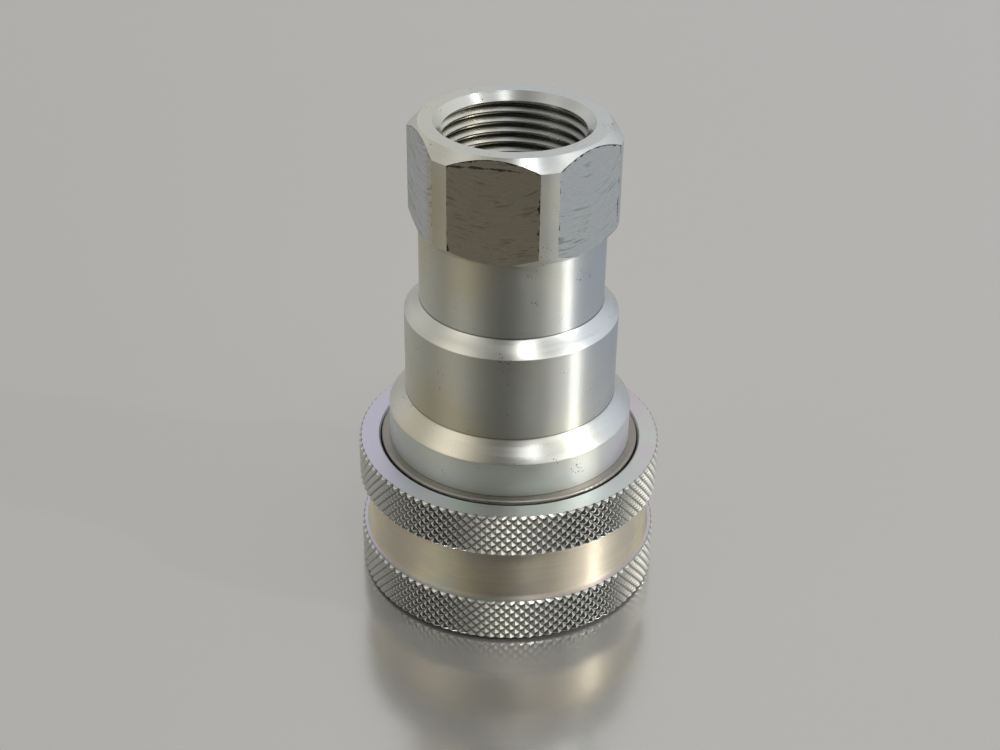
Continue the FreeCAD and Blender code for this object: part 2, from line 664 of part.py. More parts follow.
pieces = [
    coupler_body(),
    locking_sleeve(),
    spring_seat_ring(),
    split_ring("sleeve_retaining_ring", "ring_inner", "ring_outer",
               "ring_groove_front + ring_play", "ring_groove_rear - ring_play"),
    coil_spring("sleeve_spring", "spring_radius", "sleeve_spring_wire", "spring_front",
                "sleeve_spring_length", "sleeve_spring_turns"),
    *lock_balls(),
    ring_seal("socket_seal", "seal_circle", "seal_section", "seal_height"),
    socket_backup_ring(),
    valve_poppet(),
    ring_seal("poppet_seal", "poppet_seal_circle", "poppet_seal_section", "poppet_seal_height"),
    coil_spring("valve_spring", "valve_spring_radius", "valve_spring_wire", "valve_spring_front",
                "valve_spring_length", "valve_spring_turns"),
    valve_guide(),
    split_ring("guide_retaining_ring", "guide_ring_inner", "guide_ring_outer",
               "guide_groove_front + ring_play", "guide_groove_rear - ring_play"),
]
doc.recompute()

faults = [item.Label for item in doc.Objects if {"Invalid", "Error"} & set(item.State)]
faults += [piece.Label for piece in pieces if piece.Shape.isNull() or not piece.Shape.isValid()]
if faults:
    raise RuntimeError("these objects failed: " + ", ".join(faults))

os.makedirs("parts", exist_ok=True)
for piece in pieces:
    piece.Shape.exportStep(f"parts/{piece.Label}.step")
length, width = size("overall_length"), size("2 * sleeve_radius")
print(f"{len(pieces)} pieces, {length:.2f} mm long, {width:.2f} mm across")
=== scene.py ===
import json
import math

import bmesh
import bpy
from mathutils import Matrix, Vector


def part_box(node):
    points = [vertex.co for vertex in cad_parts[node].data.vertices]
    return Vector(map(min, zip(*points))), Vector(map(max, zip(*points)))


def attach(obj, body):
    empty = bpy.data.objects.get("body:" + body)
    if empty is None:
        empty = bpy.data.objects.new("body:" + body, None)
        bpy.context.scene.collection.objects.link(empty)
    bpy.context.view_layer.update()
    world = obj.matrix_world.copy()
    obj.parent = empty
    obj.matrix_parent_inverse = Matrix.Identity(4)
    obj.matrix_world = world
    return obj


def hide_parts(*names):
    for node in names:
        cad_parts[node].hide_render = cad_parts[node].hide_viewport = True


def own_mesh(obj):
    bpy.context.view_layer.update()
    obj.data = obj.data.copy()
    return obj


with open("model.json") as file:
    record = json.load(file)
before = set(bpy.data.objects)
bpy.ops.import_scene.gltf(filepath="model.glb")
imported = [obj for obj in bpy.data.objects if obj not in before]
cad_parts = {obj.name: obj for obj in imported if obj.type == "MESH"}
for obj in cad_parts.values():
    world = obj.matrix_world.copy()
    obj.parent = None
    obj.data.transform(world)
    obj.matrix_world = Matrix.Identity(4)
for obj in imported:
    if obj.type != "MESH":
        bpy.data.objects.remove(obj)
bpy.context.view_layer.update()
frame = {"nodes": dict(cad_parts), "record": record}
nodes = frame["nodes"]
mm = 0.001
fullTurn = 2 * math.pi
weld = 0.002 * mm  # points closer than this are one
ringRoom = 0.02 * mm  # spun points lie this close to their radius
steepest = 0.3  # the normal of a wall rises less than this
print("frame loaded with", len(nodes), "CAD nodes")


# Helpers for edit mode

def deselectAll():
    bpy.ops.object.select_all(action="DESELECT")


def openForEdit(piece):
    deselectAll()
    piece.select_set(True)
    bpy.context.view_layer.objects.active = piece
    bpy.ops.object.mode_set(mode="EDIT")


def closeEdit():
    bpy.ops.object.mode_set(mode="OBJECT")


def pick(piece, kind, test):
    # kind is VERT, EDGE or FACE; test looks at the middle of each and at the item itself
    bpy.ops.mesh.select_mode(type=kind)
    bpy.ops.mesh.select_all(action="DESELECT")
    shape = bmesh.from_edit_mesh(piece.data)
    items = {"VERT": shape.verts, "EDGE": shape.edges, "FACE": shape.faces}[kind]
    for item in items:
        corners = [item] if kind == "VERT" else item.verts
        middle = sum((corner.co for corner in corners), Vector()) / len(corners)
        item.select_set(test(middle, item))
    shape.select_flush_mode()
    bmesh.update_edit_mesh(piece.data)


def radiusOf(point):
    return math.hypot(point.x, point.y)


def near(value, target, room=0.01 * mm):
    return abs(value - target) < room


def applyModifier(piece, kind, settings):
    deselectAll()
    piece.select_set(True)
    bpy.context.view_layer.objects.active = piece
    modifier = piece.modifiers.new(kind.lower(), kind)
    for name, value in settings.items():
        setattr(modifier, name, value)
    bpy.ops.object.modifier_apply(modifier=modifier.name)


def smoothByAngle(piece, degrees):
    deselectAll()
    piece.select_set(True)
    bpy.context.view_layer.objects.active = piece
    bpy.ops.object.shade_smooth_by_angle(angle=math.radians(degrees))


def drawOutline(name, outline):
    # a point is extruded along the outline, (radius, height) pairs in mm in the XZ plane
    deselectAll()
    bpy.ops.mesh.primitive_plane_add(size=mm)
    piece = bpy.context.object
    piece.name = name
    bpy.ops.object.mode_set(mode="EDIT")
    bpy.ops.mesh.select_all(action="SELECT")
    bpy.ops.mesh.merge(type="CENTER")
    places = [Vector((radius * mm, 0, height * mm)) for radius, height in outline]
    bpy.ops.transform.translate(value=places[0])
    for before, after in zip(places, places[1:]):
        bpy.ops.mesh.extrude_region_move(TRANSFORM_OT_translate={"value": after - before})
    bpy.ops.mesh.select_all(action="SELECT")
    bpy.ops.mesh.remove_doubles(threshold=weld)
    return piece


def closeShape():
    bpy.ops.mesh.select_all(action="SELECT")
    bpy.ops.mesh.remove_doubles(threshold=weld)
    bpy.ops.mesh.normals_make_consistent(inside=False)


def addPiece(piece, body, slot, *replaced):
    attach(piece, body)
    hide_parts(*replaced)
    print("piece", piece.name, "rides on", body, "with", len(piece.data.polygons), "faces")


# Body: the solid's own form, with the pipe thread cut into its port

bodyLook = {
    "threadPitch": 1.814,  # 14 threads to the inch
    "threadDepth": 0.78,  # less than a real one, so that the flanks show and don't mirror each other
    "crestWidth": 0.23,
    "rootWidth": 0.23,
    "crestRadius": 11.85,
    "threadFrom": 66.6,
    "threadTo": 84.7,
    "leadTurns": 1.6,  # the tap's first turns are shallower
    "leadShare": 0.25,
    "fade": 1.1,  # the thread's start comes out on the countersink
    "stepsPerTurn": 128,
    "cutterReach": 0.6,  # the cutter starts this far inside the crests
    "portFrom": 60.0,
    "countersinkFrom": 84.4,
    "flatRadius": 16.0,
    "flatsFrom": 67.5,
    "shoulderRadius": 21.345,
    "shoulderTo": 33.4,
    "smoothAngle": 24,
}


def threadCutter():
    look = bodyLook
    half = (look["threadPitch"] - look["crestWidth"]) / 2
    inside = look["crestRadius"] - look["cutterReach"]
    root = look["crestRadius"] + look["threadDepth"]
    start = look["threadFrom"]
    section = [
        (inside, start - half),
        (look["crestRadius"], start - half),
        (root, start - look["rootWidth"] / 2),
        (root, start + look["rootWidth"] / 2),
        (look["crestRadius"], start + half),
        (inside, start + half),
        (inside, start - half),
    ]
    cutter = drawOutline("threadCutter", section)
    closeEdit()
    turns = math.ceil((look["threadTo"] - start) / look["threadPitch"])
    applyModifier(cutter, "SCREW", {
        "axis": "Z", "angle": fullTurn, "screw_offset": look["threadPitch"] * mm,
        "iterations": turns, "steps": look["stepsPerTurn"], "render_steps": look["stepsPerTurn"],
        "use_merge_vertices": True, "merge_threshold": weld})
    lead = look["leadTurns"] * look["threadPitch"]
    for corner in cutter.data.vertices:
        height = corner.co.z / mm
        leadIn = max(look["leadShare"], (height - start) / lead)
        runOut = max(0, (look["threadTo"] - height) / look["fade"])
        share = min(1, leadIn, runOut)
        kept = (look["crestRadius"] - inside + look["threadDepth"] * share) / (root - inside)
        depth = radiusOf(corner.co) - inside * mm
        shrink = (inside * mm + depth * kept) / radiusOf(corner.co)
        corner.co.x *= shrink
        corner.co.y *= shrink
    openForEdit(cutter)
    bpy.ops.mesh.select_mode(type="VERT")
    bpy.ops.mesh.select_all(action="DESELECT")
    bpy.ops.mesh.select_non_manifold()
    bpy.ops.mesh.fill_holes(sides=0)
    closeShape()
    closeEdit()
    return cutter


def threadedBody():
    look = bodyLook
    piece = bpy.data.objects.new("threadedBody", nodes["coupler_body"].data.copy())
    bpy.context.scene.collection.objects.link(piece)
    openForEdit(piece)
    bpy.ops.mesh.customdata_custom_splitnormals_clear()
    bpy.ops.mesh.select_all(action="SELECT")
    bpy.ops.mesh.remove_doubles(threshold=weld)
    closeEdit()
    cutter = threadCutter()
    applyModifier(piece, "BOOLEAN", {"operation": "DIFFERENCE", "object": cutter, "solver": "EXACT"})
    bpy.data.objects.remove(cutter)
    smoothByAngle(piece, look["smoothAngle"])
    return piece


def outwardShare(face):
    # how far out the face lies along its own normal, below zero where it faces the axis
    return face.center.x * face.normal.x + face.center.y * face.normal.y


def isFlat(face):
    onFlat = near(outwardShare(face), bodyLook["flatRadius"] * mm)
    return onFlat and abs(face.normal.z) < 0.02 and face.center.z > bodyLook["flatsFrom"] * mm


def isPort(face):
    root = bodyLook["crestRadius"] + bodyLook["threadDepth"] + 0.1
    inThread = bodyLook["portFrom"] * mm < face.center.z < bodyLook["countersinkFrom"] * mm
    return inThread and radiusOf(face.center) < root * mm and outwardShare(face) < 0


def isCountersink(face):
    return outwardShare(face) < 0 and face.center.z > bodyLook["countersinkFrom"] * mm


def isBarrel(face):
    return outwardShare(face) > 0 and abs(face.normal.z) < steepest


def isShoulder(face):
    onShoulder = near(radiusOf(face.center), bodyLook["shoulderRadius"] * mm, 0.1 * mm)
    below = face.center.z < bodyLook["shoulderTo"] * mm
    return onShoulder and below and abs(face.normal.z) < steepest


def layOutFlats(piece):
    # each hexagon flat gets its own coordinates in mm: across, and up from the head's underside
    layout = piece.data.uv_layers.new(name="flats")
    for face in piece.data.polygons:
        if not isFlat(face):
            continue
        across = Vector((-face.normal.y, face.normal.x, 0))
        for corner in face.loop_indices:
            place = piece.data.vertices[piece.data.loops[corner].vertex_index].co
            layout.data[corner].uv = (place.dot(across) / mm, place.z / mm - bodyLook["flatsFrom"])


# Sleeve: turned, with two knurled bands

sleeveLow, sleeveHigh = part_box("locking_sleeve")
sleeveLook = {
    "radius": sleeveHigh.x / mm,
    "front": sleeveLow.z / mm,
    "rear": sleeveHigh.z / mm,
    "frontBand": 8.05,
    "rearBand": 8.0,
    "waistDepth": 1.6,
    "waistRound": 0.8,
    "boreRadius": 23.095,
    "landRadius": 20.475,
    "landFrom": 8.7,
    "landTo": 11.1,
    "camFrom": 4.1,
    "camRadius": 22.25,
    "counterbore": 23.25,
    "boreEdge": 0.3,
    "teethAround": 98,
    "toothRows": 8,  # half rows of teeth in a band
    "toothDepth": 0.46,
    "toothEdge": 0.4,  # chamfer that ends the teeth
    "edgeLift": 0.04,  # its foot lies this far above the valleys
    "notchDepth": 0.14,
    "toothFlat": 0.16,  # worn tips
    "tipWear": 0.07,  # height that the wear takes off
    "smoothAngle": 22,
}


def bandRows(low, high):
    look = sleeveLook
    first, last = low + look["toothEdge"], high - look["toothEdge"]
    step = (last - first) / look["toothRows"]
    return [first + row * step for row in range(look["toothRows"] + 1)]


def knurledSleeve():
    look = sleeveLook
    radius, front, rear = look["radius"], look["front"], look["rear"]
    tip = radius + look["tipWear"]
    edge = radius - look["toothDepth"] + look["edgeLift"]
    waist = radius - look["waistDepth"]
    waistFrom, waistTo = front + look["frontBand"], rear - look["rearBand"]
    frontRows, rearRows = bandRows(front, waistFrom), bandRows(waistTo, rear)
    outline = [
        (look["counterbore"] + look["boreEdge"], front),
        (edge, front),
        *[(tip, row) for row in frontRows],
        (edge, waistFrom),
        (waist, waistFrom),
        (waist, waistTo),
        (edge, waistTo),
        *[(tip, row) for row in rearRows],
        (edge, rear),
        (look["boreRadius"] + look["boreEdge"], rear),
        (look["boreRadius"], rear - look["boreEdge"]),
        (look["boreRadius"], look["landTo"]),
        (look["landRadius"], look["landTo"]),
        (look["landRadius"], look["landFrom"]),
        (look["camRadius"], look["camFrom"]),
        (look["counterbore"], look["camFrom"]),
        (look["counterbore"], front + look["boreEdge"]),
        (look["counterbore"] + look["boreEdge"], front),
    ]
    piece = drawOutline("knurledSleeve", outline)
    columns = 2 * look["teethAround"]
    bpy.ops.mesh.spin(steps=columns, angle=fullTurn, center=(0, 0, 0), axis=(0, 0, 1))
    closeShape()

    # the waist's corners are rounded
    pick(piece, "EDGE", lambda middle, edgeItem: near(radiusOf(middle), waist * mm, ringRoom) and (
        near(middle.z, waistFrom * mm) or near(middle.z, waistTo * mm)) and (
        near(edgeItem.verts[0].co.z, edgeItem.verts[1].co.z)))
    bpy.ops.mesh.bevel(offset=look["waistRound"] * mm, segments=5, affect="EDGES")

    # every second point of a row is pressed in, row by row in turn
    def column(point):
        return round(math.atan2(point.y, point.x) / fullTurn * columns)

    def isRowPoint(point, rows):
        onTip = near(radiusOf(point), tip * mm, ringRoom)
        return onTip and any(near(point.z, row * mm) for row in rows)

    def isValley(point, item):
        for rows in (frontRows, rearRows):
            if isRowPoint(point, rows):
                row = min(range(len(rows)), key=lambda number: abs(rows[number] * mm - point.z))
                return (column(point) + row) % 2 == 1
        return False

    def isNotch(point, item):
        onEdge = near(radiusOf(point), edge * mm, ringRoom)
        ends = (front, waistFrom, waistTo, rear)
        return onEdge and any(near(point.z, end * mm) for end in ends) and column(point) % 2 == 1

    valleyScale = (radius - look["toothDepth"]) / tip
    pick(piece, "VERT", isValley)
    bpy.ops.transform.resize(value=(valleyScale, valleyScale, 1), center_override=(0, 0, 0))
    notchScale = (edge - look["notchDepth"]) / edge
    pick(piece, "VERT", isNotch)
    bpy.ops.transform.resize(value=(notchScale, notchScale, 1), center_override=(0, 0, 0))

    # teeth: the squares between the points fold along their valleys
    def inTeeth(middle, item):
        return radiusOf(middle) > waist * mm and any(
            rows[0] * mm < middle.z < rows[-1] * mm for rows in (frontRows, rearRows))

    def inTeethEnds(middle, item):
        spans = [
            (front, frontRows[0]), (frontRows[-1], waistFrom),
            (waistTo, rearRows[0]), (rearRows[-1], rear)]
        return radiusOf(middle) > waist * mm and any(
            low * mm + weld < middle.z < high * mm - weld for low, high in spans) and (
            radiusOf(middle) > (edge - look["notchDepth"]) * mm)

    pick(piece, "FACE", inTeeth)
    bpy.ops.mesh.quads_convert_to_tris(quad_method="SHORTEST_DIAGONAL")
    pick(piece, "FACE", inTeethEnds)
    bpy.ops.mesh.quads_convert_to_tris(quad_method="LONGEST_DIAGONAL")
    pick(piece, "VERT", lambda point, item: near(radiusOf(point), tip * mm, ringRoom))
    bpy.ops.mesh.bevel(offset=look["toothFlat"] * mm, segments=1, affect="VERTICES")
    closeShape()
    closeEdit()
    smoothByAngle(piece, look["smoothAngle"])
    return piece


def isTooth(face):
    toothFloor = (sleeveLook["radius"] - sleeveLook["toothDepth"] - 0.05) * mm
    return radiusOf(face.center) > toothFloor and abs(face.normal.z) < 0.98


def isWaist(face):
    waistTop = (sleeveLook["radius"] - sleeveLook["waistDepth"] + 0.5) * mm
    onWaist = (sleeveLook["boreRadius"] + 1) * mm < radiusOf(face.center) < waistTop
    return onWaist and outwardShare(face) > 0


# Springs: wire coiled in a closed turn, open turns and a closed turn, ground flat at both ends

springLooks = {
    "sleeve_spring": {
        "wire": 1.9, "coilRadius": 21.685, "openTurns": 2, "body": "sleeve_spring",
        "joint": "sleeve_slide", "travel": 6.5},
    "valve_spring": {
        "wire": 1.6, "coilRadius": 6.1, "openTurns": 3, "body": "body",
        "joint": "poppet_slide", "travel": 6.0},
}
coilLook = {"clearance": 0.08, "sectionPoints": 16, "stepsPerTurn": 72, "smoothAngle": 40}


def coilStage(name, look, start, height, turns):
    wire = look["wire"] / 2
    points = coilLook["sectionPoints"]
    section = []
    for point in range(points + 1):
        angle = fullTurn * point / points
        section.append((look["coilRadius"] + wire * math.cos(angle), start + wire * math.sin(angle)))
    stage = drawOutline(name, section)
    closeEdit()
    applyModifier(stage, "SCREW", {
        "axis": "Z", "angle": fullTurn, "screw_offset": height / turns * mm, "iterations": turns,
        "steps": coilLook["stepsPerTurn"], "render_steps": coilLook["stepsPerTurn"],
        "use_merge_vertices": True, "merge_threshold": weld})
    return stage


def coilSpring(node, look):
    low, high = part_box(node)
    front, rear = low.z / mm, high.z / mm
    closed = look["wire"] + coilLook["clearance"]
    openHeight = rear - front - 2 * closed
    stages = [
        coilStage(node + "Coil", look, front, closed, 1),
        coilStage(node + "Open", look, front + closed, openHeight, look["openTurns"]),
        coilStage(node + "End", look, front + closed + openHeight, closed, 1),
    ]
    deselectAll()
    for stage in stages:
        stage.select_set(True)
    piece = stages[0]
    bpy.context.view_layer.objects.active = piece
    bpy.ops.object.join()
    openForEdit(piece)
    closeShape()
    for height, outward in ((front, -1), (rear, 1)):  # ground ends
        bpy.ops.mesh.select_all(action="SELECT")
        bpy.ops.mesh.bisect(plane_co=(0, 0, height * mm), plane_no=(0, 0, outward), clear_outer=True,
                            use_fill=True)
    closeShape()
    closeEdit()
    smoothByAngle(piece, coilLook["smoothAngle"])
    addPiece(piece, look["body"], "spring_steel", node)
    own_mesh(piece)
    return piece


# Materials

def linearColour(hexText):
    channels = [int(hexText[start:start + 2], 16) / 255 for start in (1, 3, 5)]
    return [c / 12.92 if c <= 0.04045 else ((c + 0.055) / 1.055) ** 2.4 for c in channels] + [1]


def addNode(tree, kind, settings, inputs):
    node = tree.nodes.new(kind)
    for name, value in settings.items():
        setattr(node, name, value)
    for place, value in inputs.items():
        if isinstance(value, bpy.types.NodeSocket):
            tree.links.new(value, node.inputs[place])
        else:
            node.inputs[place].default_value = value
    return node


def newMaterial(name):
    material = bpy.data.materials.new(name)
    material.use_nodes = True
    tree = material.node_tree
    tree.nodes.clear()
    place = addNode(tree, "ShaderNodeTexCoord", {}, {}).outputs["Object"]
    return material, tree, place


def finishMaterial(tree, inputs):
    shader = addNode(tree, "ShaderNodeBsdfPrincipled", {}, inputs)
    addNode(tree, "ShaderNodeOutputMaterial", {}, {"Surface": shader.outputs[0]})
    return shader


def radiusNode(tree, place):
    flatPlace = addNode(tree, "ShaderNodeVectorMath", {"operation": "MULTIPLY"}, {
        0: place, 1: (1, 1, 0)})
    length = addNode(tree, "ShaderNodeVectorMath", {"operation": "LENGTH"}, {0: flatPlace.outputs[0]})
    return length.outputs["Value"]


# Noise mostly lies between these two
noiseLow, noiseHigh = 0.3, 0.7

# What all turned surfaces share
turnedLook = {
    "faceShare": 0.6,  # rings follow the height and this share of the radius, so faces show them too
    "ringHeight": 0.02,
    "speckEdge": 0.04, "speckShade": 0.85,
    "speckRoom": 9,  # specks gather in patches this many times their size
    "smoother": 0.03, "rougher": 0.04,  # roughness between the rings and on them
    "dirtAndShadeColour": "#2e2a25",
}


def turnedZinc(name, look):
    # Zinc-plated turned steel with a clear passivate: satin metal, fine rings from the tool,
    # faint lilac, green and straw tints, a few dark specks, and painted shade in corners and thread
    # roots
    material, tree, place = newMaterial(name)
    parts = addNode(tree, "ShaderNodeSeparateXYZ", {}, {0: place})
    radius = radiusNode(tree, place)
    along = addNode(tree, "ShaderNodeMath", {"operation": "MULTIPLY_ADD"}, {
        0: radius, 1: turnedLook["faceShare"], 2: parts.outputs["Z"]})
    ringPlace = addNode(tree, "ShaderNodeCombineXYZ", {}, {
        0: parts.outputs["X"], 1: parts.outputs["Y"], 2: along.outputs[0]})
    rings = addNode(tree, "ShaderNodeVectorMath", {"operation": "MULTIPLY"}, {
        0: ringPlace.outputs[0],
        1: (1 / look["ringRun"] / mm, 1 / look["ringRun"] / mm, 1 / look["ringSpacing"] / mm)})
    lines = addNode(tree, "ShaderNodeTexNoise", {}, {
        "Vector": rings.outputs[0], "Scale": 1.0, "Detail": 3.0, "Roughness": 0.6})
    clouds = addNode(tree, "ShaderNodeTexNoise", {}, {
        "Vector": place, "Scale": 1 / look["cloudSize"] / mm, "Detail": 2.0})
    side = addNode(tree, "ShaderNodeVectorMath", {"operation": "DOT_PRODUCT"}, {
        0: place, 1: look["drift"]})
    drift = addNode(tree, "ShaderNodeMath", {"operation": "ADD"}, {
        0: clouds.outputs["Fac"], 1: side.outputs["Value"]})
    tint = addNode(tree, "ShaderNodeValToRGB", {}, {0: drift.outputs[0]})
    stops = tint.color_ramp.elements
    for number, colour in enumerate(look["tints"]):
        share = noiseLow + (noiseHigh - noiseLow) * number / (len(look["tints"]) - 1)
        stop = stops[number] if number < 2 else stops.new(share)
        stop.position = share
        stop.color = linearColour(colour)
    specks = addNode(tree, "ShaderNodeTexNoise", {}, {
        "Vector": place, "Scale": 1 / look["speckSize"] / mm, "Detail": 3.0, "Roughness": 0.6})
    speckRoom = addNode(tree, "ShaderNodeTexNoise", {}, {
        "Vector": place, "Scale": 1 / (turnedLook["speckRoom"] * look["speckSize"]) / mm, "Detail": 1.0})
    speckDepth = addNode(tree, "ShaderNodeMath", {"operation": "MULTIPLY_ADD"}, {
        0: speckRoom.outputs["Fac"], 1: 0.5, 2: specks.outputs["Fac"]})
    speck = addNode(tree, "ShaderNodeMapRange", {}, {
        0: speckDepth.outputs[0], 1: look["speckFrom"], 2: look["speckFrom"] + turnedLook["speckEdge"],
        3: 0.0, 4: turnedLook["speckShade"]})
    specksAndShade = speck.outputs[0]
    for height in look["cornerShadeHeights"]:  # painted shade: dark lines in the corners at these heights
        corner = addNode(tree, "ShaderNodeMath", {"operation": "COMPARE"}, {
            0: parts.outputs["Z"], 1: height * mm, 2: look["cornerShadeWidth"] * mm})
        specksAndShade = addNode(tree, "ShaderNodeMath", {"operation": "MULTIPLY_ADD", "use_clamp": True}, {
            0: corner.outputs[0], 1: clouds.outputs["Fac"], 2: specksAndShade}).outputs[0]
    lineShade = addNode(tree, "ShaderNodeMapRange", {}, {
        0: lines.outputs["Fac"], 1: noiseLow, 2: noiseHigh, 3: 1 - look["lineShade"], 4: 1.0})
    colour = addNode(tree, "ShaderNodeMix", {"data_type": "RGBA", "blend_type": "MULTIPLY"}, {
        0: 1.0, 6: tint.outputs[0], 7: lineShade.outputs[0]})
    if "rootFrom" in look:  # painted shade: the roots of a thread are darkened, as they lie in shade
        root = addNode(tree, "ShaderNodeMapRange", {}, {
            0: radius, 1: look["rootFrom"] * mm, 2: look["rootTo"] * mm, 3: 1.0, 4: look["rootPaintedShade"]})
        colour = addNode(tree, "ShaderNodeMix", {"data_type": "RGBA", "blend_type": "MULTIPLY"}, {
            0: 1.0, 6: colour.outputs[2], 7: root.outputs[0]})
    # dark specks, and painted shade in the corners
    darkened = addNode(tree, "ShaderNodeMix", {"data_type": "RGBA"}, {
        0: specksAndShade, 6: colour.outputs[2], 7: linearColour(turnedLook["dirtAndShadeColour"])})
    roughness = addNode(tree, "ShaderNodeMapRange", {}, {
        0: lines.outputs["Fac"], 1: noiseLow, 2: noiseHigh,
        3: look["roughness"] - turnedLook["smoother"], 4: look["roughness"] + turnedLook["rougher"]})
    bump = addNode(tree, "ShaderNodeBump", {}, {
        "Height": lines.outputs["Fac"], "Strength": look["bump"],
        "Distance": turnedLook["ringHeight"] * mm})
    tangent = addNode(tree, "ShaderNodeTangent", {"direction_type": "RADIAL", "axis": "Z"}, {})
    finishMaterial(tree, {
        "Base Color": darkened.outputs[2], "Metallic": 1.0, "Roughness": roughness.outputs[0],
        "Anisotropic": look["anisotropy"], "Anisotropic Rotation": 0.25,
        "Tangent": tangent.outputs[0], "Normal": bump.outputs[0]})
    return material


# Sizes are in mm. Turning marks are about 0.1 mm apart in life and are drawn coarser, to show.
# The drift runs from the first tint to the last across the object, in shares of the tints per metre
bodyZinc = {
    "tints": ["#c8c4ae", "#cbcec8", "#b9bfc8"],  # straw on one side to blue on the other
    "cloudSize": 26, "drift": (8.0, 1.5, 0),
    "ringSpacing": 0.16, "ringRun": 12, "lineShade": 0.06, "bump": 0.08,
    "roughness": 0.42, "anisotropy": 0.9,
    "speckSize": 0.38, "speckFrom": 0.98,
    # painted shade in the corners at these heights, in mm
    "cornerShadeHeights": (36.62, 54.34), "cornerShadeWidth": 0.12,
}
facedZinc = {
    **bodyZinc, "tints": ["#dbd8c8", "#dadcd7", "#d2d7db"],
    "roughness": 0.3, "anisotropy": 0.4,
}
shoulderZinc = {
    **bodyZinc, "tints": ["#d4dad4", "#d5dbd5", "#d8d8e0"],
    "roughness": 0.46, "anisotropy": 0.3, "bump": 0.05,
}
portZinc = {
    **bodyZinc, "tints": ["#e2e0d2", "#c4c5c0", "#a0a2a2"],  # darker towards +x: painted shade for the side of the port that lies in shade
    "drift": (20.0, 3.0, 0), "roughness": 0.26, "anisotropy": 0.0, "bump": 0.0,
    "speckFrom": 2.0, "lineShade": 0.03,
    # painted shade in the thread's roots, from the first radius to the second in mm
    "rootFrom": 12.22, "rootTo": 12.55, "rootPaintedShade": 0.25,
}
countersinkZinc = {
    **bodyZinc, "tints": ["#dcdacb", "#dadcd6", "#d2d6da"],
    "roughness": 0.22, "anisotropy": 0.0, "bump": 0.0,
}
sleeveZinc = {
    "tints": ["#d6d4e4", "#d3dfdd", "#dbe0db", "#dfd4dc"],  # lilac, green and rose
    "cloudSize": 18, "drift": (9.8, 2.0, 0),
    "ringSpacing": 0.2, "ringRun": 14, "lineShade": 0.04, "bump": 0.06,
    "roughness": 0.36, "anisotropy": 0.8,
    "speckSize": 0.5, "speckFrom": 1.1,
    "cornerShadeHeights": (), "cornerShadeWidth": 0.0,
}
waistZinc = {
    **sleeveZinc, "tints": ["#d1d9d1", "#d3dacd", "#e4dcc0", "#d8d1c2"],  # green to cream
    "cloudSize": 14, "drift": (1.2, -6.0, 0),
    "roughness": 0.5, "anisotropy": 0.93, "lineShade": 0.12, "bump": 0.12,
}


milledLook = {
    "tints": ("#b6b9c0", "#bcc4c5"), "patchSize": 5.0,
    "arcCentre": 24.0,  # the cutter's centre above the head's underside
    "markLength": 16.0,
    "markWidth": 0.45,  # about 0.2 in life, drawn coarser to show
    "markShade": 0.62, "markHeight": 0.05, "markBump": 0.35,
    "apart": (200, 200, 0),  # moves the marks on from flat to flat, so that no two are alike
    "roughness": (0.36, 0.24),  # in the marks and on the lands between them
    "flatHalf": 7.4, "nickWidth": 0.5, "nickReach": 0.22,  # nicks along the corners
    "coneTop": 33.94,  # radius plus height at which the top chamfer's cone would close
    "burrShadeWidth": 0.45, "burrShadeReach": 0.36,  # a burr along the top chamfer, with painted shade under it
    "ragSize": 1.1, "ragFrom": 0.74, "ragTo": 0.78, "nickAndShadeStrength": 0.9, "dirtAndShadeColour": "#2a2622",
    "paintedReflectionSide": (-0.15, -0.98, 0), "paintedReflectionFrom": 12.5, "paintedReflectionTo": 14.5,  # painted reflection: the flat facing the front is darker and browner, for the dim room side it mirrors
    "paintedReflectionShare": 0.8, "paintedReflectionColour": "#b2a78e",
    "foldDepth": 1.5, "foldWidth": 0.28,  # that flat's burr is folded over, with painted shade under the fold
}


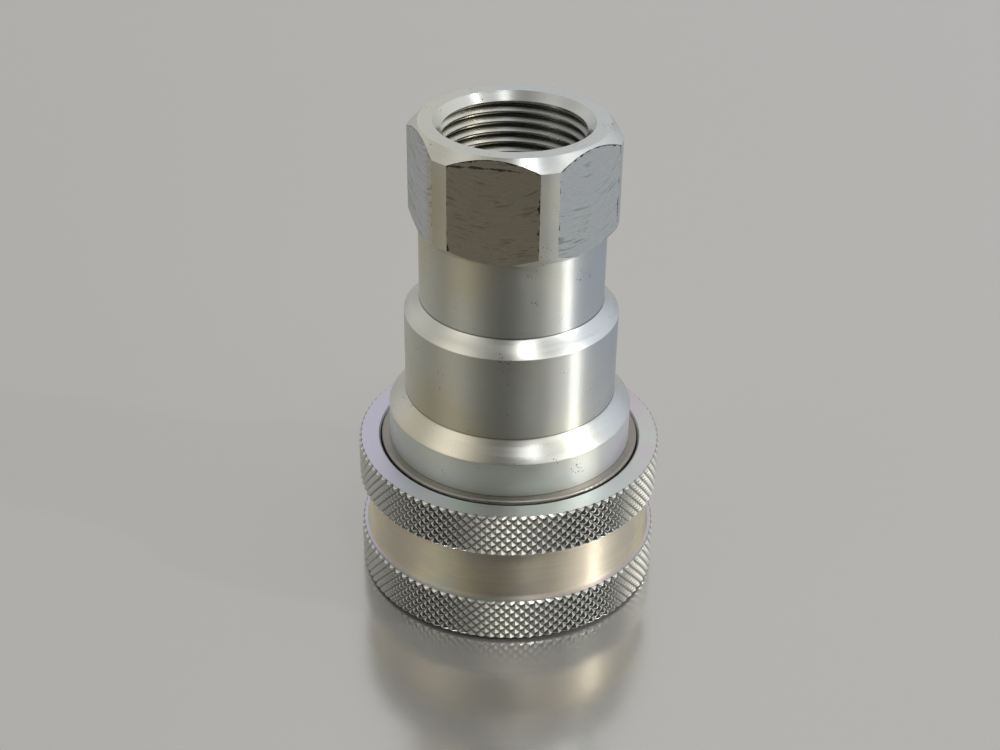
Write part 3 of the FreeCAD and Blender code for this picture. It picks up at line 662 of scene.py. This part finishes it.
def milledZinc():
    # Zinc over a face-milled flat: sagging arcs from the cutter, dark nicks along the edges,
    # painted shade under the burrs, and a painted dark reflection on the flat facing the front
    look = milledLook
    material, tree, place = newMaterial("zinc over milled flats")
    layout = addNode(tree, "ShaderNodeUVMap", {"uv_map": "flats"}, {})
    centred = addNode(tree, "ShaderNodeVectorMath", {"operation": "SUBTRACT"}, {
        0: layout.outputs[0], 1: (0, look["arcCentre"], 0)})
    reach = addNode(tree, "ShaderNodeVectorMath", {"operation": "LENGTH"}, {0: centred.outputs[0]})
    parts = addNode(tree, "ShaderNodeSeparateXYZ", {}, {0: layout.outputs[0]})
    runAcross = addNode(tree, "ShaderNodeMath", {"operation": "DIVIDE"}, {
        0: parts.outputs["X"], 1: look["markLength"]})
    runOut = addNode(tree, "ShaderNodeMath", {"operation": "DIVIDE"}, {
        0: reach.outputs["Value"], 1: look["markWidth"]})
    arcs = addNode(tree, "ShaderNodeCombineXYZ", {}, {0: runAcross.outputs[0], 1: runOut.outputs[0]})
    ownArcs = addNode(tree, "ShaderNodeVectorMath", {"operation": "MULTIPLY_ADD"}, {
        0: place, 1: look["apart"], 2: arcs.outputs[0]})
    marks = addNode(tree, "ShaderNodeTexNoise", {}, {
        "Vector": ownArcs.outputs[0], "Scale": 1.0, "Detail": 3.0, "Roughness": 0.55})
    patches = addNode(tree, "ShaderNodeTexNoise", {}, {
        "Vector": place, "Scale": 1 / look["patchSize"] / mm, "Detail": 2.0})
    markEdge = addNode(tree, "ShaderNodeMapRange", {}, {
        0: patches.outputs["Fac"], 1: 0.35, 2: 0.65, 3: 0.3, 4: 0.45})
    markDepth = addNode(tree, "ShaderNodeMath", {"operation": "SUBTRACT"}, {
        0: marks.outputs["Fac"], 1: markEdge.outputs[0]})
    shade = addNode(tree, "ShaderNodeMapRange", {}, {
        0: markDepth.outputs[0], 1: -0.06, 2: 0.04, 3: look["markShade"], 4: 1.0})
    side = addNode(tree, "ShaderNodeMath", {"operation": "ABSOLUTE"}, {0: parts.outputs["X"]})
    sideRoom = addNode(tree, "ShaderNodeMath", {"operation": "SUBTRACT"}, {
        0: look["flatHalf"], 1: side.outputs[0]})
    sideNear = addNode(tree, "ShaderNodeMapRange", {}, {
        0: sideRoom.outputs[0], 1: 0.0, 2: look["nickWidth"], 3: look["nickReach"], 4: 0.0})
    radiusSquared = addNode(tree, "ShaderNodeMath", {"operation": "MULTIPLY_ADD"}, {
        0: parts.outputs["X"], 1: parts.outputs["X"], 2: bodyLook["flatRadius"] ** 2})
    radius = addNode(tree, "ShaderNodeMath", {"operation": "SQRT"}, {0: radiusSquared.outputs[0]})
    chamferHeight = addNode(tree, "ShaderNodeMath", {"operation": "SUBTRACT"}, {
        0: look["coneTop"], 1: radius.outputs[0]})
    topRoom = addNode(tree, "ShaderNodeMath", {"operation": "SUBTRACT"}, {
        0: chamferHeight.outputs[0], 1: parts.outputs["Y"]})
    # painted shade under the burr along the top chamfer, with the burr itself
    topNear = addNode(tree, "ShaderNodeMapRange", {}, {
        0: topRoom.outputs[0], 1: 0.0, 2: look["burrShadeWidth"], 3: look["burrShadeReach"], 4: 0.0})
    rag = addNode(tree, "ShaderNodeTexNoise", {}, {
        "Vector": place, "Scale": 1 / look["ragSize"] / mm, "Detail": 3.0})
    edgeNear = addNode(tree, "ShaderNodeMath", {"operation": "MAXIMUM"}, {
        0: sideNear.outputs[0], 1: topNear.outputs[0]})
    nicksAndShadeDepth = addNode(tree, "ShaderNodeMath", {"operation": "ADD"}, {
        0: rag.outputs["Fac"], 1: edgeNear.outputs[0]})
    nicksAndShade = addNode(tree, "ShaderNodeMapRange", {}, {
        0: nicksAndShadeDepth.outputs[0], 1: look["ragFrom"], 2: look["ragTo"], 3: 0.0, 4: look["nickAndShadeStrength"]})
    tint = addNode(tree, "ShaderNodeMix", {"data_type": "RGBA"}, {
        0: patches.outputs["Fac"], 6: linearColour(look["tints"][0]), 7: linearColour(look["tints"][1])})
    # painted reflection: the flat facing the front gets a dark brown tint
    ahead = addNode(tree, "ShaderNodeVectorMath", {"operation": "DOT_PRODUCT"}, {
        0: place, 1: look["paintedReflectionSide"]})
    paintedReflection = addNode(tree, "ShaderNodeMapRange", {}, {
        0: ahead.outputs["Value"], 1: look["paintedReflectionFrom"] * mm, 2: look["paintedReflectionTo"] * mm,
        3: 0.0, 4: look["paintedReflectionShare"]})
    withPaintedReflection = addNode(tree, "ShaderNodeMix", {"data_type": "RGBA"}, {
        0: paintedReflection.outputs[0], 6: tint.outputs[2], 7: linearColour(look["paintedReflectionColour"])})
    colour = addNode(tree, "ShaderNodeMix", {"data_type": "RGBA", "blend_type": "MULTIPLY"}, {
        0: 1.0, 6: withPaintedReflection.outputs[2], 7: shade.outputs[0]})
    # a dark line sags under the top chamfer of the front flat: a folded burr, with painted shade under
    # it
    spread = addNode(tree, "ShaderNodeMath", {"operation": "MULTIPLY"}, {
        0: parts.outputs["X"], 1: parts.outputs["X"]})
    foldRoom = addNode(tree, "ShaderNodeMath", {"operation": "MULTIPLY_ADD"}, {
        0: spread.outputs[0], 1: -look["foldDepth"] / look["flatHalf"] ** 2, 2: look["foldDepth"]})
    foldAway = addNode(tree, "ShaderNodeMath", {"operation": "SUBTRACT"}, {
        0: topRoom.outputs[0], 1: foldRoom.outputs[0]})
    foldWidth = addNode(tree, "ShaderNodeMapRange", {}, {
        0: rag.outputs["Fac"], 1: 0.35, 2: 0.65, 3: 0.0, 4: look["foldWidth"]})
    fold = addNode(tree, "ShaderNodeMath", {"operation": "COMPARE"}, {
        0: foldAway.outputs[0], 1: 0.0, 2: foldWidth.outputs[0]})
    foldHere = addNode(tree, "ShaderNodeMath", {"operation": "MULTIPLY"}, {
        0: fold.outputs[0], 1: paintedReflection.outputs[0]})
    dirtAndShade = addNode(tree, "ShaderNodeMath", {"operation": "MAXIMUM"}, {
        0: nicksAndShade.outputs[0], 1: foldHere.outputs[0]})
    withDirtAndShade = addNode(tree, "ShaderNodeMix", {"data_type": "RGBA"}, {
        0: dirtAndShade.outputs[0], 6: colour.outputs[2], 7: linearColour(look["dirtAndShadeColour"])})
    roughness = addNode(tree, "ShaderNodeMapRange", {}, {
        0: marks.outputs["Fac"], 1: noiseLow, 2: noiseHigh,
        3: look["roughness"][0], 4: look["roughness"][1]})
    bump = addNode(tree, "ShaderNodeBump", {}, {
        "Height": marks.outputs["Fac"], "Strength": look["markBump"],
        "Distance": look["markHeight"] * mm})
    finishMaterial(tree, {
        "Base Color": withDirtAndShade.outputs[2], "Metallic": 1.0, "Roughness": roughness.outputs[0],
        "Normal": bump.outputs[0]})
    return material


knurlLook = {
    "tints": ("#d2d6d2", "#e2e2dc"), "cloudSize": 3.0, "roughness": 0.25,
    "valleyShadeRise": 0.2, "valleyPaintedShade": 0.4,  # painted shade darkens the valleys up to this height above them
}


def knurledZinc():
    # Zinc over cut teeth: bright facets and tips, painted shade down in the valleys
    look = knurlLook
    material, tree, place = newMaterial("zinc over knurled teeth")
    valley = (sleeveLook["radius"] - sleeveLook["toothDepth"]) * mm
    depth = addNode(tree, "ShaderNodeMapRange", {}, {
        0: radiusNode(tree, place), 1: valley, 2: valley + look["valleyShadeRise"] * mm,
        3: look["valleyPaintedShade"], 4: 1.0})
    clouds = addNode(tree, "ShaderNodeTexNoise", {}, {
        "Vector": place, "Scale": 1 / look["cloudSize"] / mm, "Detail": 3.0})
    tint = addNode(tree, "ShaderNodeMix", {"data_type": "RGBA"}, {
        0: clouds.outputs["Fac"], 6: linearColour(look["tints"][0]), 7: linearColour(look["tints"][1])})
    colour = addNode(tree, "ShaderNodeMix", {"data_type": "RGBA", "blend_type": "MULTIPLY"}, {
        0: 1.0, 6: tint.outputs[2], 7: depth.outputs[0]})
    finishMaterial(tree, {
        "Base Color": colour.outputs[2], "Metallic": 1.0, "Roughness": look["roughness"]})
    return material


def plainMetal(name, look):
    # Drawn, ground or polished steel: even metal with faint mottling
    material, tree, place = newMaterial(name)
    clouds = addNode(tree, "ShaderNodeTexNoise", {}, {
        "Vector": place, "Scale": 1 / look["grain"] / mm, "Detail": 4.0})
    colour = addNode(tree, "ShaderNodeMix", {"data_type": "RGBA"}, {
        0: clouds.outputs["Fac"], 6: linearColour(look["dark"]), 7: linearColour(look["light"])})
    roughness = addNode(tree, "ShaderNodeMapRange", {}, {
        0: clouds.outputs["Fac"], 1: noiseLow, 2: noiseHigh,
        3: look["roughness"] * 0.85, 4: look["roughness"] * 1.2})
    finishMaterial(tree, {
        "Base Color": colour.outputs[2], "Metallic": 1.0, "Roughness": roughness.outputs[0]})
    return material


def softSeal(name, look):
    # Moulded nitrile or skived PTFE: a soft sheen and a fine uneven skin
    material, tree, place = newMaterial(name)
    skin = addNode(tree, "ShaderNodeTexNoise", {}, {
        "Vector": place, "Scale": 1 / look["grain"] / mm, "Detail": 3.0})
    colour = addNode(tree, "ShaderNodeMix", {"data_type": "RGBA"}, {
        0: skin.outputs["Fac"], 6: linearColour(look["dark"]), 7: linearColour(look["light"])})
    bump = addNode(tree, "ShaderNodeBump", {}, {
        "Height": skin.outputs["Fac"], "Strength": 0.2, "Distance": 0.02 * mm})
    finishMaterial(tree, {
        "Base Color": colour.outputs[2], "Roughness": look["roughness"], "IOR": look["ior"],
        "Normal": bump.outputs[0]})
    return material


metalLooks = {  # grain is the size of the mottling in mm
    "oiled spring steel": {"dark": "#6d675f", "light": "#8d877e", "grain": 1.5, "roughness": 0.34},
    "worn plated ring": {"dark": "#918e87", "light": "#aaa69e", "grain": 1.5, "roughness": 0.34},
    "polished ball steel": {"dark": "#c6c6c8", "light": "#d2d2d3", "grain": 2.0, "roughness": 0.08},
    "fine turned valve steel": {"dark": "#b1b2af", "light": "#c3c4c0", "grain": 1.2, "roughness": 0.28},
}
sealLooks = {  # grain in mm, coarser than the real skins so that it shows
    "black nitrile": {
        "dark": "#141414", "light": "#1f1f20", "grain": 0.4, "roughness": 0.45, "ior": 1.52},
    "white skived ptfe": {
        "dark": "#dcdcd6", "light": "#ecece8", "grain": 0.6, "roughness": 0.5, "ior": 1.35},
}


# Putting the pieces together

body = threadedBody()
layOutFlats(body)
body.data.materials.clear()
for material in (
        turnedZinc("zinc over faced steel", facedZinc),
        milledZinc(),
        turnedZinc("zinc over tapped thread", portZinc),
        turnedZinc("zinc over countersink", countersinkZinc),
        turnedZinc("dull zinc over turned steel", shoulderZinc),
        turnedZinc("zinc over turned barrel", bodyZinc)):
    body.data.materials.append(material)
for face in body.data.polygons:
    kinds = (isFlat(face), isPort(face), isCountersink(face), isShoulder(face), isBarrel(face))
    face.material_index = kinds.index(True) + 1 if any(kinds) else 0
addPiece(body, "body", "zinc_plated_body", "coupler_body")

sleeve = knurledSleeve()
for material in (
        turnedZinc("bright zinc over turned sleeve", sleeveZinc), knurledZinc(),
        turnedZinc("straw zinc over turned waist", waistZinc)):
    sleeve.data.materials.append(material)
for face in sleeve.data.polygons:
    face.material_index = 1 if isTooth(face) else 2 if isWaist(face) else 0
addPiece(sleeve, "sleeve", "zinc_plated_sleeve", "locking_sleeve")

metals = {name: plainMetal(name, look) for name, look in metalLooks.items()}
seals = {name: softSeal(name, look) for name, look in sealLooks.items()}
for node, look in springLooks.items():
    coilSpring(node, look).data.materials.append(metals["oiled spring steel"])
finishes = {
    "spring_steel": metals["oiled spring steel"],
    "ball_steel": metals["polished ball steel"],
    "valve_steel": metals["fine turned valve steel"],
    "nitrile_rubber": seals["black nitrile"],
    "ptfe": seals["white skived ptfe"],
}
for row in frame["record"]["subparts"]:
    if row["material_slot"] in finishes:
        nodes[row["node"]].data.materials.clear()
        nodes[row["node"]].data.materials.append(finishes[row["material_slot"]])
nodes["spring_seat_ring"].data.materials[0] = metals["worn plated ring"]
print("materials on", len(nodes), "nodes")


# Stage: floor, light and camera

cameraLook = {  # fitted to the object's outlines, in mm and degrees
    "azimuth": 11.2, "distance": 231.3, "height": 178.2,
    "pitch": 31.23, "yaw": -0.442, "roll": 0.788,
    "focalPixels": 1535.25, "imageWidth": 1000, "sensor": 36.0,
}
stageLook = {
    "floorSize": 6.0, "floorColour": "#cecdca", "floorMetallic": 0.76,
    "floorRoughness": 0.18, "roughnessSpread": 0.03,
}

# Soft patches of light on walls and ceiling:
# degrees to the right of the camera, degrees up, how tight, how strong, tint
roomLights = {
    "backWall": (180, 20, 2.5, 0.53, "#ffffff"),
    "backCeiling": (180, 60, 5.0, 0.23, "#ffffff"),
    "ceiling": (0, 90, 6.0, 0.24, "#ffffff"),
    "leftWall": (-115, 15, 6.0, 0.48, "#fffaf0"),
    "leftPanel": (-62, 36, 16.0, 1.30, "#fffaf0"),
    "rightWall": (115, 15, 6.0, 0.68, "#f4f7fc"),
    "rightPanel": (90, 30, 16.0, 0.45, "#f4f7fc"),
    "rightCeiling": (80, 60, 12.0, 0.41, "#ffffff"),
    "rightBench": (60, 8, 20.0, 1.38, "#fff8ee"),
    "frontCeiling": (50, 33, 40.0, 1.38, "#fffaf0"),
    "frontGlow": (-30, 25, 20.0, 0.06, "#ffffff"),
}


def buildFloor():
    # a satin sheet, so that it shows the room's light and dark sides as well as the shadow
    look = stageLook
    deselectAll()
    bpy.ops.mesh.primitive_plane_add(size=look["floorSize"])
    floor = bpy.context.object
    floor.name = "floor"
    material, tree, place = newMaterial("pale satin sheet")
    clouds = addNode(tree, "ShaderNodeTexNoise", {}, {"Vector": place, "Scale": 6.0, "Detail": 3.0})
    roughness = addNode(tree, "ShaderNodeMapRange", {}, {
        0: clouds.outputs["Fac"], 3: look["floorRoughness"] - look["roughnessSpread"],
        4: look["floorRoughness"] + look["roughnessSpread"]})
    finishMaterial(tree, {
        "Base Color": linearColour(look["floorColour"]), "Metallic": look["floorMetallic"],
        "Roughness": roughness.outputs[0]})
    floor.data.materials.append(material)


def towards(azimuth, elevation):
    turn, rise = math.radians(azimuth + cameraLook["azimuth"]), math.radians(elevation)
    level = math.cos(rise)
    return Vector((math.sin(turn) * level, -math.cos(turn) * level, math.sin(rise)))


def buildRoom():
    # pale walls and ceiling all round, left dim where the camera stands
    world = bpy.data.worlds.new("studio room")
    bpy.context.scene.world = world
    world.use_nodes = True
    tree = world.node_tree
    tree.nodes.clear()
    direction = addNode(tree, "ShaderNodeTexCoord", {}, {}).outputs["Generated"]
    light = (0, 0, 0)
    for azimuth, elevation, tightness, strength, tint in roomLights.values():
        facing = addNode(tree, "ShaderNodeVectorMath", {"operation": "DOT_PRODUCT"}, {
            0: direction, 1: towards(azimuth, elevation)})
        falloff = addNode(tree, "ShaderNodeMath", {"operation": "MULTIPLY_ADD"}, {
            0: facing.outputs["Value"], 1: tightness, 2: -tightness})
        glow = addNode(tree, "ShaderNodeMath", {"operation": "EXPONENT"}, {0: falloff.outputs[0]})
        colour = [strength * channel for channel in linearColour(tint)[:3]]
        light = addNode(tree, "ShaderNodeVectorMath", {"operation": "MULTIPLY_ADD"}, {
            0: glow.outputs[0], 1: colour, 2: light}).outputs[0]
    background = addNode(tree, "ShaderNodeBackground", {}, {0: light})
    addNode(tree, "ShaderNodeOutputWorld", {}, {0: background.outputs[0]})


# Ceiling lamps, level and in line with the picture: metres to the right, towards the camera and up
lampLooks = {
    "sideLamp": {
        "place": (1.46, 0.47, 0.84), "size": (0.16, 0.09), "power": 16.5, "colour": "#fffaf0"},
    "nearLamp": {
        "place": (0.365, 0.632, 0.84), "size": (0.14, 0.14), "power": 0.36, "colour": "#ffffff"},
    "ceilingLamp": {
        "place": (0.21, 0.49, 1.00), "size": (0.12, 0.12), "power": 1.15, "colour": "#ffffff"},
    "rightLamp": {
        "place": (0.60, 0.05, 0.95), "size": (0.12, 0.08), "power": 0.15, "colour": "#ffffff"},
}


def addLamp(name, look):
    deselectAll()
    right, forward, height = look["place"]
    place = right * towards(90, 0) + forward * towards(0, 0) + Vector((0, 0, height))
    bpy.ops.object.light_add(type="AREA", location=place)
    lamp = bpy.context.object
    lamp.name = name
    lamp.rotation_euler.z = math.radians(cameraLook["azimuth"])
    lamp.data.shape = "RECTANGLE"
    lamp.data.size, lamp.data.size_y = look["size"]
    lamp.data.energy = look["power"]
    lamp.data.color = linearColour(look["colour"])[:3]


def buildCamera():
    look = cameraLook
    pitch, yaw, roll = (math.radians(look[name]) for name in ("pitch", "yaw", "roll"))
    level = math.cos(pitch)
    ahead = Vector((math.sin(yaw) * level, math.cos(yaw) * level, -math.sin(pitch)))
    right = Vector((math.cos(yaw), -math.sin(yaw), 0))
    up = right.cross(ahead)
    rolledRight = right * math.cos(roll) + up * math.sin(roll)
    rolledUp = up * math.cos(roll) - right * math.sin(roll)
    turn = Matrix.Rotation(math.radians(look["azimuth"]), 4, "Z")
    view = Matrix((rolledRight, rolledUp, -ahead)).transposed().to_4x4()
    deselectAll()
    bpy.ops.object.camera_add()
    camera = bpy.context.object
    stand = Matrix.Translation((0, -look["distance"] * mm, look["height"] * mm))
    camera.matrix_world = turn @ stand @ view
    camera.data.sensor_width = look["sensor"]
    camera.data.lens = look["focalPixels"] / look["imageWidth"] * look["sensor"]
    camera.data.clip_start = 0.01
    bpy.context.scene.camera = camera


buildFloor()
buildRoom()
for lampName, lampLook in lampLooks.items():
    addLamp(lampName, lampLook)
buildCamera()
bpy.context.scene.view_settings.view_transform = "Standard"
print("stage, lamps and camera in place")
